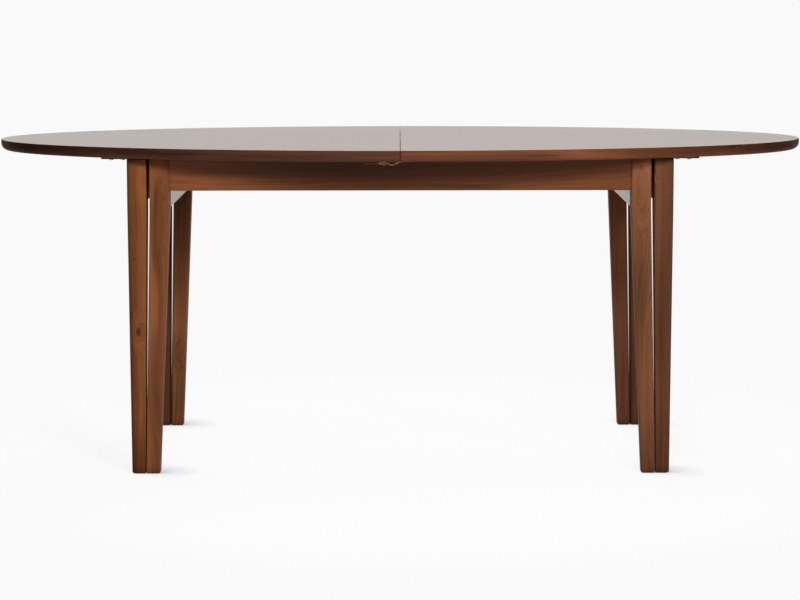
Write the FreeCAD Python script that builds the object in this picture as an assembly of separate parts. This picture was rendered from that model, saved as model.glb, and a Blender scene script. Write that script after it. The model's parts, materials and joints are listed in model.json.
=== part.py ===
import FreeCAD, Part
import math
import os

# Oval extension table with split legs. Millimetres, +Z up, X along the length, front at -Y.
# The origin is on the floor under the middle of the top.

# The table as a whole
table_length = 1876.0
table_width = 1000.0
table_height = 740.0

# Half tops
top_thickness = 25.0
top_upper_round = 1.5
top_lower_round = 16.5
seam_gap = 0.6

# Legs: each pair is an inner half and an outer half with a slit between them
leg_pair_width = 94.7
leg_pair_foot_width = 63.5
leg_foot_lean = 3.7
leg_slit = 6.8
leg_slit_foot = 1.6
leg_depth = 52.0
leg_foot_depth = 36.0
leg_outer_round = 11.0
leg_inner_round = 3.0
leg_slit_round = 1.5
leg_slit_back_round = 6.0
leg_foot_chamfer = 1.5
leg_rim_room = 30.0
foot_pad_thickness = 1.0
foot_pad_inset = 6.0

# Aprons and end rails
apron_thickness = 22.0
apron_height = 72.1
apron_setback = 4.0
rail_thickness = 22.0
rail_height = 112.5
rail_setback = 1.2
edge_round = 1.5
tenon_thickness = 10.0
tenon_length = 26.0
tenon_height = 38.0
tenon_edge = 12.0

# Wooden slides
runner_thickness = 20.0
runner_height = 48.0
runner_seam_room = 15.0
tongue_depth = 9.5
tongue_height = 16.0
guide_leg_room = 1.0
guide_top_room = 3.0
rail_horn = 12.0
lug_length = 30.0
lug_height = 8.5
lug_side_room = 1.0
stop_length = 20.0

# Stored leaf and its bearers
leaf_end_room = 16.8
leaf_side_room = 15.5
bearer_thickness = 14.0
bearer_width = 50.0
bearer_spacing = 600.0
dowel_diameter = 10.0
dowel_seat = 20.0
dowel_reach = 14.0

# Corner blocks and their bolts
block_length = 50.0
block_height = 50.0
block_top_room = 10.0
block_guide_room = 3.0
bolt_diameter = 8.0
bolt_grip = 25.0
bolt_end = 12.0
bolt_drop = 25.0
nut_width = 13.0
nut_height = 7.0

# Glide strips on the aprons
strip_thickness = 1.0
strip_width = 12.0
strip_end_room = 20.0

# Plates on the outer leg halves
plate_thickness = 3.2
plate_width = 36.0
plate_reach = 58.0
plate_setback = 6.0
plate_leg_room = 5.0
plate_round = 6.0
plate_near_screw_reach = 10.0
plate_far_screw_reach = 36.0
plate_leg_screw_inset = 22.0
plate_screw_spacing = 20.0

# Brackets between the outer end rails and the half tops
bracket_thickness = 2.5
bracket_width = 16.0
bracket_drop = 88.0
bracket_rail_room = 8.0
bracket_spacing = 116.0
bracket_screw_edge = 6.0
bracket_screw_step = 30.0

# Catches at the seam
lock_pivot_x = 36.0
lock_plate_length = 36.0
lock_plate_width = 20.0
lock_plate_thickness = 2.5
lock_plate_lead = 20.0
lock_boss_diameter = 10.0
lock_boss_height = 3.2
lock_screw_spacing = 24.0
lock_screw_lead = 14.0
lever_thickness = 3.5
lever_width = 7.0
lever_eye_diameter = 12.0
lever_arm = 8.0
lever_back = 12.0
lever_bow_length = 34.0
lever_bow_drop = 3.3
lever_bow_rise = 4.5
lever_bow_thickness = 2.0
lever_tail_diameter = 2.0
lever_tail_length = 28.0
lever_knob_diameter = 4.0
pivot_diameter = 4.0
pivot_head_diameter = 8.4
pivot_head_height = 2.0
hook_radius = 48.0
hook_thickness = 2.3
hook_inner_wall = 4.6
hook_outer_wall = 3.6
stud_diameter = 6.0
stud_length = 3.2
keeper_thickness = 1.6
keeper_length = 22.0
keeper_width = 20.0
keeper_seam_room = 4.0
keeper_screw_spacing = 12.0
keeper_screw_edge = 6.0

# Angles of the catch, in degrees: the lever rests this far from the locked position
lever_rest_angle = 9.0
hook_lip_angle = 3.5
hook_back_angle = 8.0

# Screws: head diameter, head height, shank diameter, length in the material
pan_screw = {"head": 9.0, "height": 2.4, "shank": 4.0, "length": 17.0}
flat_screw = {"head": 9.0, "height": 2.6, "shank": 4.5, "length": 45.0}
runner_screw = {"head": 9.0, "height": 3.2, "shank": 4.5, "length": 33.0}
bearer_screw = {"head": 9.0, "height": 3.2, "shank": 4.5, "length": 34.0}
small_pan_screw = {"head": 6.0, "height": 1.6, "shank": 2.8, "length": 13.0}
small_flat_screw = {"head": 5.0, "height": 1.3, "shank": 2.6, "length": 12.0}
runner_counterbore = 30.0

# Clearances
slide_fit = 0.5
lift_fit = 0.4
glue_fit = 0.1
screw_fit = 0.1
dowel_fit = 0.4
pivot_fit = 0.05
lever_fit = 0.3
hook_fit = 0.4
stop_fit = 0.5
tip_room = 1.0
cut_overrun = 5.0

# Shares: places along the size that they follow
dowel_shares = (-0.35, 0.0, 0.35)
runner_screw_shares = (0.12, 0.5, 0.82)
corner_room_share = 0.49
lock_share = 0.49
inner_half_share = 0.5
parallel_share = 0.001
bow_shares = (
    (-0.06, 0.0), (0.0, 0.0), (0.1, -0.6), (0.2, -1.0), (0.41, -0.73), (0.65, 0.25), (0.82, 0.8), (0.93, 1.0),
    (1.0, 1.0),
)

# Heights
top_z = table_height
under_z = table_height - top_thickness
frame_top_z = under_z - lift_fit - strip_thickness
apron_bottom_z = frame_top_z - apron_height
rail_bottom_z = frame_top_z - rail_height
runner_bottom_z = under_z - runner_height
tongue_mid_z = runner_bottom_z + runner_height / 2
lug_bottom_z = runner_bottom_z - lug_height
bearer_top_z = lug_bottom_z - slide_fit
bearer_bottom_z = bearer_top_z - bearer_thickness
guide_top_z = frame_top_z - guide_top_room
taper_top_z = rail_bottom_z
outer_leg_top_z = under_z - plate_thickness
tenon_bottom_z = rail_bottom_z + tenon_edge

# Places along X: the frame is as long inside as the leaf that it stores
leaf_length = table_width
leg_inner_x = leaf_length / 2 + leaf_end_room
leg_outer_x = leg_inner_x + leg_pair_width
inner_rail_x = (leg_inner_x + rail_setback, leg_inner_x + rail_setback + rail_thickness)
outer_rail_x = (leg_outer_x - rail_setback - rail_thickness, leg_outer_x - rail_setback)
runner_x = (runner_seam_room, outer_rail_x[0])

# Places along Y: the legs stand in from the oval rim, and the leaf fits between the runners
rim_y_at_leg = table_width / 2 * math.sqrt(1 - (2 * leg_outer_x / table_length) ** 2)
leg_front_y = rim_y_at_leg - leg_rim_room
leg_back_y = leg_front_y - leg_depth
leg_mid_y = (leg_back_y + leg_front_y) / 2
plate_mid_y = leg_mid_y - plate_setback
tongue_end_y = leg_back_y - rail_horn - slide_fit
runner_y = (tongue_end_y - tongue_depth - runner_thickness, tongue_end_y - tongue_depth)
guide_y = (runner_y[1] + slide_fit, leg_back_y - guide_leg_room)
apron_y = (leg_front_y - apron_setback - apron_thickness, leg_front_y - apron_setback)
lock_y = apron_y[1] + (table_width / 2 - apron_y[1]) * lock_share
leaf_width = 2 * (runner_y[0] - leaf_side_room)

# Each end slides out by half of the leaf that goes between them
end_travel = leaf_width / 2

# Levels of the catch below the top
lever_top_z = under_z - lock_plate_thickness - lock_boss_height - lever_fit
lever_bottom_z = lever_top_z - lever_thickness
lever_mid_z = (lever_top_z + lever_bottom_z) / 2
hook_mid_z = lever_mid_z + lever_bow_rise
hook_bottom_z = hook_mid_z - hook_thickness / 2

UP = FreeCAD.Vector(0, 0, 1)
DOWN = FreeCAD.Vector(0, 0, -1)
OUT = FreeCAD.Vector(1, 0, 0)
ORIGIN = FreeCAD.Vector(0, 0, 0)


def point(x, y, z):
    return FreeCAD.Vector(x, y, z)


def mix(low, high, share):
    return low + (high - low) * share


def block(xs, ys, zs):
    """Box between two values on each axis."""
    size = [abs(pair[1] - pair[0]) for pair in (xs, ys, zs)]
    return Part.makeBox(size[0], size[1], size[2], point(min(xs), min(ys), min(zs)))


def rod(radius, start, end):
    """Cylinder between two points."""
    return Part.makeCylinder(radius, (end - start).Length, start, end - start)


def placed(shape, side_x, side_y):
    """Copy of a shape of the right rear quarter, mirrored to another quarter."""
    result = shape.copy()
    if side_x < 0:
        result = result.mirror(ORIGIN, FreeCAD.Vector(1, 0, 0))
    if side_y < 0:
        result = result.mirror(ORIGIN, FreeCAD.Vector(0, 1, 0))
    return result


def softened(shape, radius, axis):
    """Rounds the edges of a box that run along one axis."""
    def runs_along(edge):
        return edge.tangentAt(edge.FirstParameter).cross(axis).Length < parallel_share
    return shape.makeFillet(radius, [edge for edge in shape.Edges if runs_along(edge)])


def rounded_outline(xs, ys, radii, z):
    """Closed outline at one height, with a radius at each corner, anticlockwise from low x, low y."""
    room = min(xs[1] - xs[0], ys[1] - ys[0]) * corner_room_share
    signs = ((-1, -1), (1, -1), (1, 1), (-1, 1))
    arcs = []
    for (sign_x, sign_y), radius in zip(signs, radii):
        r = min(radius, room)
        centre_x = xs[0] + r if sign_x < 0 else xs[1] - r
        centre_y = ys[0] + r if sign_y < 0 else ys[1] - r
        on_x = point(centre_x + sign_x * r, centre_y, z)
        on_y = point(centre_x, centre_y + sign_y * r, z)
        diagonal = r * math.sqrt(0.5)
        middle = point(centre_x + sign_x * diagonal, centre_y + sign_y * diagonal, z)
        ends = (on_x, on_y) if sign_x == sign_y else (on_y, on_x)
        arcs.append((ends[0], middle, ends[1]))
    edges = []
    for index, (start, middle, end) in enumerate(arcs):
        edges.append(Part.Arc(start, middle, end).toShape())
        edges.append(Part.LineSegment(end, arcs[(index + 1) % len(arcs)][0]).toShape())
    return Part.Wire(edges)


def sector(centre, radii, angles, zs):
    """Part of a flat ring between two radii and two angles in degrees."""
    def on_ring(radius, angle):
        turn = math.radians(angle)
        return point(centre[0] + radius * math.cos(turn), centre[1] + radius * math.sin(turn), zs[0])
    middle = (angles[0] + angles[1]) / 2
    inner, outer = radii
    edges = [
        Part.Arc(on_ring(outer, angles[0]), on_ring(outer, middle), on_ring(outer, angles[1])).toShape(),
        Part.LineSegment(on_ring(outer, angles[1]), on_ring(inner, angles[1])).toShape(),
        Part.Arc(on_ring(inner, angles[1]), on_ring(inner, middle), on_ring(inner, angles[0])).toShape(),
        Part.LineSegment(on_ring(inner, angles[0]), on_ring(outer, angles[0])).toShape(),
    ]
    return Part.Face(Part.Wire(edges)).extrude(point(0, 0, zs[1] - zs[0]))


def pan_head(size, seat, way):
    """Screw with a raised head on the seat, its shank running into the material."""
    head = rod(size["head"] / 2, seat - way * size["height"], seat)
    half = size["height"] / 2
    rim = [edge for edge in head.Edges if edge.Closed and (edge.CenterOfMass - seat).Length > half]
    head = head.makeFillet(half, rim)
    return head.fuse(rod(size["shank"] / 2, seat, seat + way * size["length"])).removeSplitter()


def pan_hole(size, seat, way):
    tip = seat + way * (size["length"] + tip_room)
    return rod(size["shank"] / 2 + screw_fit, seat - way * cut_overrun, tip)


def flat_head(size, seat, way):
    """Countersunk screw, its head level with the seat."""
    head = Part.makeCone(size["head"] / 2, size["shank"] / 2, size["height"], seat, way)
    return head.fuse(rod(size["shank"] / 2, seat, seat + way * size["length"])).removeSplitter()


def flat_hole(size, seat, way):
    wide = size["head"] / 2 + screw_fit
    sink = Part.makeCone(wide, size["shank"] / 2 + screw_fit, size["height"] + screw_fit, seat, way)
    return sink.fuse(pan_hole(size, seat, way))


def cut_all(shape, tools):
    return shape.cut(tools) if tools else shape


def leg_faces(z):
    """Faces of the right rear leg pair at one height: inner, slit, slit, outer; back, front."""
    share = min(z / taper_top_z, 1)
    width = mix(leg_pair_foot_width, leg_pair_width, share)
    slit = mix(leg_slit_foot, leg_slit, share)
    depth = mix(leg_foot_depth, leg_depth, share)
    outer = leg_outer_x - mix(leg_foot_lean, 0, share)
    inner = outer - width
    slit_face = inner + (width - slit) * inner_half_share
    return (inner, slit_face, slit_face + slit, outer), (leg_front_y - depth, leg_front_y)


def leg_half(is_outer):
    """Tapered leg half of the right rear quarter, its foot chamfered but for the slit side."""
    top = outer_leg_top_z if is_outer else frame_top_z
    if is_outer:
        radii = (leg_slit_back_round, leg_inner_round, leg_outer_round, leg_slit_round)
    else:
        radii = (leg_inner_round, leg_slit_back_round, leg_slit_round, leg_inner_round)
    levels = (
        (foot_pad_thickness, leg_foot_chamfer),
        (foot_pad_thickness + leg_foot_chamfer, 0),
        (taper_top_z, 0),
        (top, 0),
    )
    outlines = []
    for z, inset in levels:
        xs, ys = leg_faces(z)
        inset_xs = (xs[2], xs[3] - inset) if is_outer else (xs[0] + inset, xs[1])
        inset_ys = (ys[0] + inset, ys[1] - inset)
        outlines.append(rounded_outline(inset_xs, inset_ys, radii, z))
    return Part.makeLoft(outlines, True, True)


def foot_pad(is_outer):
    """Pad under a leg half, inside the chamfer of its foot."""
    xs, ys = leg_faces(foot_pad_thickness)
    low, high = (xs[2], xs[3]) if is_outer else (xs[0], xs[1])
    inset = foot_pad_inset
    inset_ys = (ys[0] + inset, ys[1] - inset)
    outline = rounded_outline((low + inset, high - inset), inset_ys, (leg_inner_round,) * 4, 0)
    return Part.Face(outline).extrude(UP * foot_pad_thickness)


def tenon(xs, ys, zs, gap):
    """Tenon, or its mortise where a gap is given."""
    return block((xs[0] - gap, xs[1] + gap), (ys[0] - gap, ys[1] + gap), (zs[0] - gap, zs[1] + gap))


def apron_tenon(gap):
    middle = (apron_y[0] + apron_y[1]) / 2
    ys = (middle - tenon_thickness / 2, middle + tenon_thickness / 2)
    zs = (apron_bottom_z + tenon_edge, apron_bottom_z + tenon_edge + tenon_height)
    return tenon((leg_inner_x, leg_inner_x + tenon_length), ys, zs, gap)


def rail_tenon(rail_x, gap):
    middle = (rail_x[0] + rail_x[1]) / 2
    xs = (middle - tenon_thickness / 2, middle + tenon_thickness / 2)
    zs = (tenon_bottom_z, tenon_bottom_z + tenon_height)
    return tenon(xs, (leg_back_y, leg_back_y + tenon_length), zs, gap)


def both_sides(shape):
    """A shape of the rear side and its mirror image at the front."""
    return [placed(shape, 1, 1), placed(shape, 1, -1)]


def with_front_copies(shapes):
    return shapes + [placed(shape, 1, -1) for shape in shapes]


def four_sides(shape):
    return [placed(shape, side_x, side_y) for side_x in (-1, 1) for side_y in (-1, 1)]


def bolt_places():
    """Middle line of the corner bolt of the right rear quarter."""
    y = (guide_y[1] + block_guide_room + apron_y[0]) / 2
    z = frame_top_z - bolt_drop
    return point(leg_inner_x - block_length, y, z), point(leg_inner_x + bolt_grip, y, z)


def bolt_hole():
    near, far = bolt_places()
    return rod(bolt_diameter / 2 + screw_fit, near - OUT * cut_overrun, far + OUT * tip_room)


def inner_leg():
    mortises = [apron_tenon(glue_fit), rail_tenon(inner_rail_x, glue_fit), bolt_hole()]
    return cut_all(leg_half(False), mortises)


def apron():
    body = block((-leg_inner_x, leg_inner_x), apron_y, (apron_bottom_z, frame_top_z))
    body = softened(body, edge_round, OUT)
    return body.fuse([apron_tenon(0), placed(apron_tenon(0), -1, 1)]).removeSplitter()


def glide_strip():
    middle = (apron_y[0] + apron_y[1]) / 2
    reach = leg_inner_x - strip_end_room
    ys = (middle - strip_width / 2, middle + strip_width / 2)
    return block((-reach, reach), ys, (frame_top_z, frame_top_z + strip_thickness))


def inner_rail():
    """End rail of the middle frame, notched for the runners that pass through it."""
    body = block(inner_rail_x, (-leg_back_y, leg_back_y), (rail_bottom_z, frame_top_z))
    body = softened(body, edge_round, FreeCAD.Vector(0, 1, 0))
    body = body.fuse(both_sides(rail_tenon(inner_rail_x, 0)))
    xs = (inner_rail_x[0] - cut_overrun, inner_rail_x[1] + cut_overrun)
    ys = (runner_y[0] - slide_fit, tongue_end_y + slide_fit)
    notch = block(xs, ys, (runner_bottom_z - slide_fit, frame_top_z + cut_overrun))
    return body.cut(both_sides(notch)).removeSplitter()


def guide():
    """Grooved beam between the inner end rails, in which the tongues of two runners slide."""
    body = block((-inner_rail_x[0], inner_rail_x[0]), guide_y, (bearer_top_z, guide_top_z))
    half = tongue_height / 2 + lift_fit
    xs = (-inner_rail_x[0] - cut_overrun, inner_rail_x[0] + cut_overrun)
    ys = (guide_y[0] - cut_overrun, tongue_end_y + slide_fit)
    groove = block(xs, ys, (tongue_mid_z - half, tongue_mid_z + half))
    holes = [pan_hole(bearer_screw, seat, UP) for seat in bearer_screw_seats(1)]
    holes += [placed(hole, -1, 1) for hole in holes]
    return cut_all(body, [groove] + holes)


def stop_block():
    """Stop under the runner, glued to the guide, which the runner's lug meets at full travel."""
    near = runner_x[0] + lug_length + end_travel + stop_fit
    ys = (runner_y[0] + lug_side_room, guide_y[0])
    zs = (bearer_top_z + stop_fit, runner_bottom_z - slide_fit)
    return block((near, near + stop_length), ys, zs)


def bearer_screw_seats(side_y):
    y = side_y * (guide_y[0] + guide_y[1]) / 2
    step = bearer_width / 4
    middle = bearer_spacing / 2
    return [point(middle - step, y, bearer_bottom_z), point(middle + step, y, bearer_bottom_z)]


def bearer():
    xs = (bearer_spacing / 2 - bearer_width / 2, bearer_spacing / 2 + bearer_width / 2)
    body = block(xs, (-guide_y[1], guide_y[1]), (bearer_bottom_z, bearer_top_z))
    body = softened(body, edge_round, FreeCAD.Vector(0, 1, 0))
    seats = bearer_screw_seats(1) + bearer_screw_seats(-1)
    return cut_all(body, [pan_hole(bearer_screw, seat, UP) for seat in seats])


def leaf_dowel_places():
    """Starts of the dowels along the rear edge of the stored leaf."""
    z = bearer_top_z + top_thickness / 2
    return [point(share * leaf_length, leaf_width / 2, z) for share in dowel_shares]


def dowel(seam, way):
    return rod(dowel_diameter / 2, seam - way * dowel_seat, seam + way * dowel_reach)


def dowel_socket(seam, way, fit, depth):
    return rod(dowel_diameter / 2 + fit, seam - way * cut_overrun, seam + way * (depth + tip_room))


def spare_leaf():
    """Loose leaf, stored lengthwise on the bearers; its ends have the profile of the rim."""
    xs = (-leaf_length / 2, leaf_length / 2)
    zs = (bearer_top_z, bearer_top_z + top_thickness)
    body = block(xs, (-leaf_width / 2, leaf_width / 2), zs)
    ends = [edge for edge in body.Edges if abs(abs(edge.CenterOfMass.x) - xs[1]) < glue_fit]
    along = [edge for edge in ends if abs(edge.CenterOfMass.y) < glue_fit]
    upper = [edge for edge in along if edge.CenterOfMass.z > sum(zs) / 2]
    body = body.makeFillet(top_upper_round, upper)
    ends = [edge for edge in body.Edges if abs(abs(edge.CenterOfMass.x) - xs[1]) < glue_fit]
    lower = [edge for edge in ends if abs(edge.CenterOfMass.z - zs[0]) < glue_fit]
    body = body.makeFillet(top_lower_round, lower)
    rear = FreeCAD.Vector(0, 1, 0)
    sockets = [dowel_socket(place, -rear, glue_fit, dowel_seat) for place in leaf_dowel_places()]
    front = [point(place.x, -place.y, place.z) for place in leaf_dowel_places()]
    sockets += [dowel_socket(place, rear, dowel_fit, dowel_reach) for place in front]
    return cut_all(body, sockets)


def corner_block():
    xs = (leg_inner_x - block_length, leg_inner_x)
    ys = (guide_y[1] + block_guide_room, apron_y[0])
    top = frame_top_z - block_top_room
    body = block(xs, ys, (top - block_height, top))
    return body.cut(bolt_hole())


def corner_bolt():
    near, far = bolt_places()
    return rod(bolt_diameter / 2, near - OUT * bolt_end, far)


def corner_nut():
    near = bolt_places()[0]
    corner = nut_width / math.sqrt(3)
    angles = [math.radians(60 * step) for step in range(7)]
    points = [near + point(0, corner * math.cos(angle), corner * math.sin(angle)) for angle in angles]
    body = Part.Face(Part.makePolygon(points)).extrude(-OUT * nut_height)
    far = near - OUT * (nut_height + cut_overrun)
    return body.cut(rod(bolt_diameter / 2 + screw_fit, near + OUT * cut_overrun, far))


def plate_xs():
    return (leg_faces(taper_top_z)[0][2] + plate_leg_room, leg_outer_x + plate_reach)


def plate_rows():
    return [plate_mid_y - plate_screw_spacing / 2, plate_mid_y + plate_screw_spacing / 2]


def plate_top_seats():
    """Seats of the four screws that hold a plate to the half top."""
    reaches = (plate_near_screw_reach, plate_far_screw_reach)
    return [point(leg_outer_x + reach, y, outer_leg_top_z) for reach in reaches for y in plate_rows()]


def plate_leg_seats():
    """Seats of the countersunk screws that hold a plate to its leg half."""
    return [point(leg_outer_x - plate_leg_screw_inset, y, under_z) for y in plate_rows()]


def leg_plate():
    ys = (plate_mid_y - plate_width / 2, plate_mid_y + plate_width / 2)
    outline = rounded_outline(plate_xs(), ys, (plate_round,) * 4, outer_leg_top_z)
    body = Part.Face(outline).extrude(UP * plate_thickness)
    holes = [pan_hole(pan_screw, seat, UP) for seat in plate_top_seats()]
    holes += [flat_hole(flat_screw, seat, DOWN) for seat in plate_leg_seats()]
    return cut_all(body, holes)


def outer_leg():
    holes = [rail_tenon(outer_rail_x, glue_fit)]
    holes += [pan_hole(flat_screw, seat, DOWN) for seat in plate_leg_seats()]
    return cut_all(leg_half(True), holes)


def bracket_y():
    return bracket_spacing / 2


def bracket_rail_seats():
    """Seats of the two screws in the outer end rail, on the bracket's upright arm."""
    x = outer_rail_x[0] - bracket_thickness
    low = under_z - bracket_drop + bracket_screw_edge
    return [point(x, bracket_y(), low), point(x, bracket_y(), low + bracket_screw_step)]


def bracket_arm_x():
    return (inner_rail_x[1] + bracket_rail_room, outer_rail_x[0])


def bracket_top_seat():
    """Seat of the screw in the half top, on the bracket's level arm."""
    x = (bracket_arm_x()[0] + bracket_arm_x()[1]) / 2
    return point(x, bracket_y(), under_z - bracket_thickness)


def rail_bracket():
    ys = (bracket_y() - bracket_width / 2, bracket_y() + bracket_width / 2)
    upright_x = (outer_rail_x[0] - bracket_thickness, outer_rail_x[0])
    upright = block(upright_x, ys, (under_z - bracket_drop, under_z))
    level = block(bracket_arm_x(), ys, (under_z - bracket_thickness, under_z))
    holes = [pan_hole(pan_screw, seat, OUT) for seat in bracket_rail_seats()]
    holes.append(pan_hole(pan_screw, bracket_top_seat(), UP))
    return cut_all(upright.fuse(level).removeSplitter(), holes)


def bracket_screws():
    return [pan_head(pan_screw, seat, OUT) for seat in bracket_rail_seats()] + [
        pan_head(pan_screw, bracket_top_seat(), UP)]


def outer_rail():
    body = block(outer_rail_x, (-leg_back_y, leg_back_y), (rail_bottom_z, under_z))
    body = softened(body, edge_round, FreeCAD.Vector(0, 1, 0))
    body = body.fuse(both_sides(rail_tenon(outer_rail_x, 0))).removeSplitter()
    holes = [pan_hole(pan_screw, seat, OUT) for seat in bracket_rail_seats()]
    return cut_all(body, with_front_copies(holes))


def runner_screw_seats():
    y = (runner_y[0] + runner_y[1]) / 2
    z = runner_bottom_z + runner_counterbore
    return [point(mix(runner_x[0], runner_x[1], share), y, z) for share in runner_screw_shares]


def runner():
    """Beech runner with its tongue, screwed to the half top through counterbored holes."""
    body = block(runner_x, runner_y, (runner_bottom_z, under_z))
    half = tongue_height / 2
    tongue = block(runner_x, (runner_y[1], tongue_end_y), (tongue_mid_z - half, tongue_mid_z + half))
    body = body.fuse(tongue).removeSplitter()
    bores = []
    for seat in runner_screw_seats():
        bores.append(pan_hole(runner_screw, seat, UP))
        mouth = seat - UP * (runner_counterbore + cut_overrun)
        bores.append(rod(runner_screw["head"] / 2 + slide_fit, mouth, seat))
    return cut_all(body, bores)


def runner_lug():
    ys = (runner_y[0] + lug_side_room, runner_y[1] - lug_side_room)
    return block((runner_x[0], runner_x[0] + lug_length), ys, (lug_bottom_z, runner_bottom_z))


def half_top():
    """Right half of the oval top, with its rounded rim and the pilot holes in its underside."""
    oval = Part.Ellipse(point(0, 0, under_z), table_length / 2, table_width / 2).toShape()
    body = Part.Face(Part.Wire([oval])).extrude(UP * top_thickness)
    rims = sorted((edge for edge in body.Edges if edge.Closed), key=lambda edge: edge.CenterOfMass.z)
    body = body.makeFillet(top_upper_round, [rims[-1]])
    rims = sorted((edge for edge in body.Edges if edge.Closed), key=lambda edge: edge.CenterOfMass.z)
    body = body.makeFillet(top_lower_round, [rims[0]])
    reach = table_length / 2 + cut_overrun
    side = table_width / 2 + cut_overrun
    zs = (under_z - cut_overrun, top_z + cut_overrun)
    body = body.common(block((seam_gap / 2, reach), (-side, side), zs))
    holes = [pan_hole(runner_screw, seat, UP) for seat in runner_screw_seats()]
    holes += [pan_hole(pan_screw, seat, UP) for seat in plate_top_seats()]
    holes.append(pan_hole(pan_screw, bracket_top_seat(), UP))
    return cut_all(body, with_front_copies(holes))


def seam_places():
    z = under_z + top_thickness / 2
    return [point(0, share * table_width, z) for share in dowel_shares]


def lock_pivot():
    """Axis of the rear catch: the lever lies along X and its hook reaches over the seam."""
    return (-lock_pivot_x, lock_y)


def stud_place():
    """Stud of the rear keeper, in the pocket of the hook when the lever is locked."""
    turn = math.radians(-lever_rest_angle)
    x, y = lock_pivot()
    return (x + hook_radius * math.cos(turn), y + hook_radius * math.sin(turn))


def lock_screw_seats():
    x, y = lock_pivot()
    z = under_z - lock_plate_thickness
    return [point(x - lock_screw_lead, y, z), point(x - lock_screw_lead + lock_screw_spacing, y, z)]


def lock_plate():
    x, y = lock_pivot()
    xs = (x - lock_plate_lead, x - lock_plate_lead + lock_plate_length)
    ys = (y - lock_plate_width / 2, y + lock_plate_width / 2)
    low = under_z - lock_plate_thickness
    outline = rounded_outline(xs, ys, (edge_round,) * 4, low)
    body = Part.Face(outline).extrude(UP * lock_plate_thickness)
    body = body.fuse(rod(lock_boss_diameter / 2, point(x, y, low - lock_boss_height), point(x, y, low)))
    holes = [pan_hole(small_pan_screw, seat, UP) for seat in lock_screw_seats()]
    start = point(x, y, low - lock_boss_height - cut_overrun)
    holes.append(rod(pivot_diameter / 2 + pivot_fit, start, point(x, y, under_z + cut_overrun)))
    return cut_all(body.removeSplitter(), holes)


def pivot_pin():
    x, y = lock_pivot()
    seat = lever_bottom_z - lever_fit
    head = rod(pivot_head_diameter / 2, point(x, y, seat - pivot_head_height), point(x, y, seat))
    half = pivot_head_height / 2
    rim = [edge for edge in head.Edges if edge.Closed and edge.CenterOfMass.z < seat - half]
    head = head.makeFillet(half, rim)
    return head.fuse(rod(pivot_diameter / 2, point(x, y, seat), point(x, y, under_z))).removeSplitter()


def bow():
    """Curved neck of the lever: it dips below the arm and rises to the hook."""
    x, y = lock_pivot()
    lines = []
    for offset in (-lever_bow_thickness / 2, lever_bow_thickness / 2):
        points = []
        for along, height in bow_shares:
            rise = height * (lever_bow_drop if height < 0 else lever_bow_rise)
            place = x + lever_arm + along * lever_bow_length
            points.append(point(place, y - lever_width / 2, lever_mid_z + rise + offset))
        curve = Part.BSplineCurve()
        curve.interpolate(points)
        lines.append((points, curve.toShape()))
    (low_points, low_curve), (high_points, high_curve) = lines
    near = Part.LineSegment(high_points[0], low_points[0]).toShape()
    far = Part.LineSegment(low_points[-1], high_points[-1]).toShape()
    profile = Part.Wire([low_curve, far, high_curve, near])
    return Part.Face(profile).extrude(FreeCAD.Vector(0, lever_width, 0))


def hook():
    """Flat hook at the end of the lever, with a pocket round the pivot for the keeper's stud."""
    zs = (hook_bottom_z, hook_bottom_z + hook_thickness)
    pocket = stud_diameter / 2 + hook_fit
    slot_radii = (hook_radius - pocket, hook_radius + pocket)
    radii = (slot_radii[0] - hook_inner_wall, slot_radii[1] + hook_outer_wall)
    body = sector(lock_pivot(), radii, (-hook_lip_angle, hook_back_angle), zs)
    closed = math.degrees(pocket / hook_radius)
    open_end = -hook_lip_angle - hook_back_angle
    slot_zs = (zs[0] - cut_overrun, zs[1] + cut_overrun)
    return body.cut(sector(lock_pivot(), slot_radii, (open_end, closed), slot_zs))


def lock_lever():
    x, y = lock_pivot()
    zs = (lever_bottom_z, lever_top_z)
    arm = block((x - lever_back, x + lever_arm), (y - lever_width / 2, y + lever_width / 2), zs)
    arm = softened(arm, edge_round, UP)
    eye = rod(lever_eye_diameter / 2, point(x, y, zs[0]), point(x, y, zs[1]))
    knob_x = x - lever_back - lever_tail_length
    tail = rod(lever_tail_diameter / 2, point(knob_x, y, lever_mid_z), point(x, y, lever_mid_z))
    knob = Part.makeSphere(lever_knob_diameter / 2, point(knob_x, y, lever_mid_z), OUT)
    body = arm.fuse([eye, bow(), hook(), tail, knob]).removeSplitter()
    low = point(x, y, zs[0] - cut_overrun)
    high = point(x, y, zs[1] + cut_overrun)
    return body.cut(rod(pivot_diameter / 2 + pivot_fit, low, high))


def keeper_screw_seats():
    x = keeper_seam_room + keeper_length - keeper_screw_edge
    y = stud_place()[1]
    z = under_z - keeper_thickness
    return [point(x, y - keeper_screw_spacing / 2, z), point(x, y + keeper_screw_spacing / 2, z)]


def keeper():
    x, y = stud_place()
    xs = (keeper_seam_room, keeper_seam_room + keeper_length)
    ys = (y - keeper_width / 2, y + keeper_width / 2)
    low = under_z - keeper_thickness
    outline = rounded_outline(xs, ys, (edge_round,) * 4, low)
    body = Part.Face(outline).extrude(UP * keeper_thickness)
    stud = rod(stud_diameter / 2, point(x, y, low - stud_length), point(x, y, low))
    holes = [flat_hole(small_flat_screw, seat, UP) for seat in keeper_screw_seats()]
    return cut_all(body.fuse(stud).removeSplitter(), holes)


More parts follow.
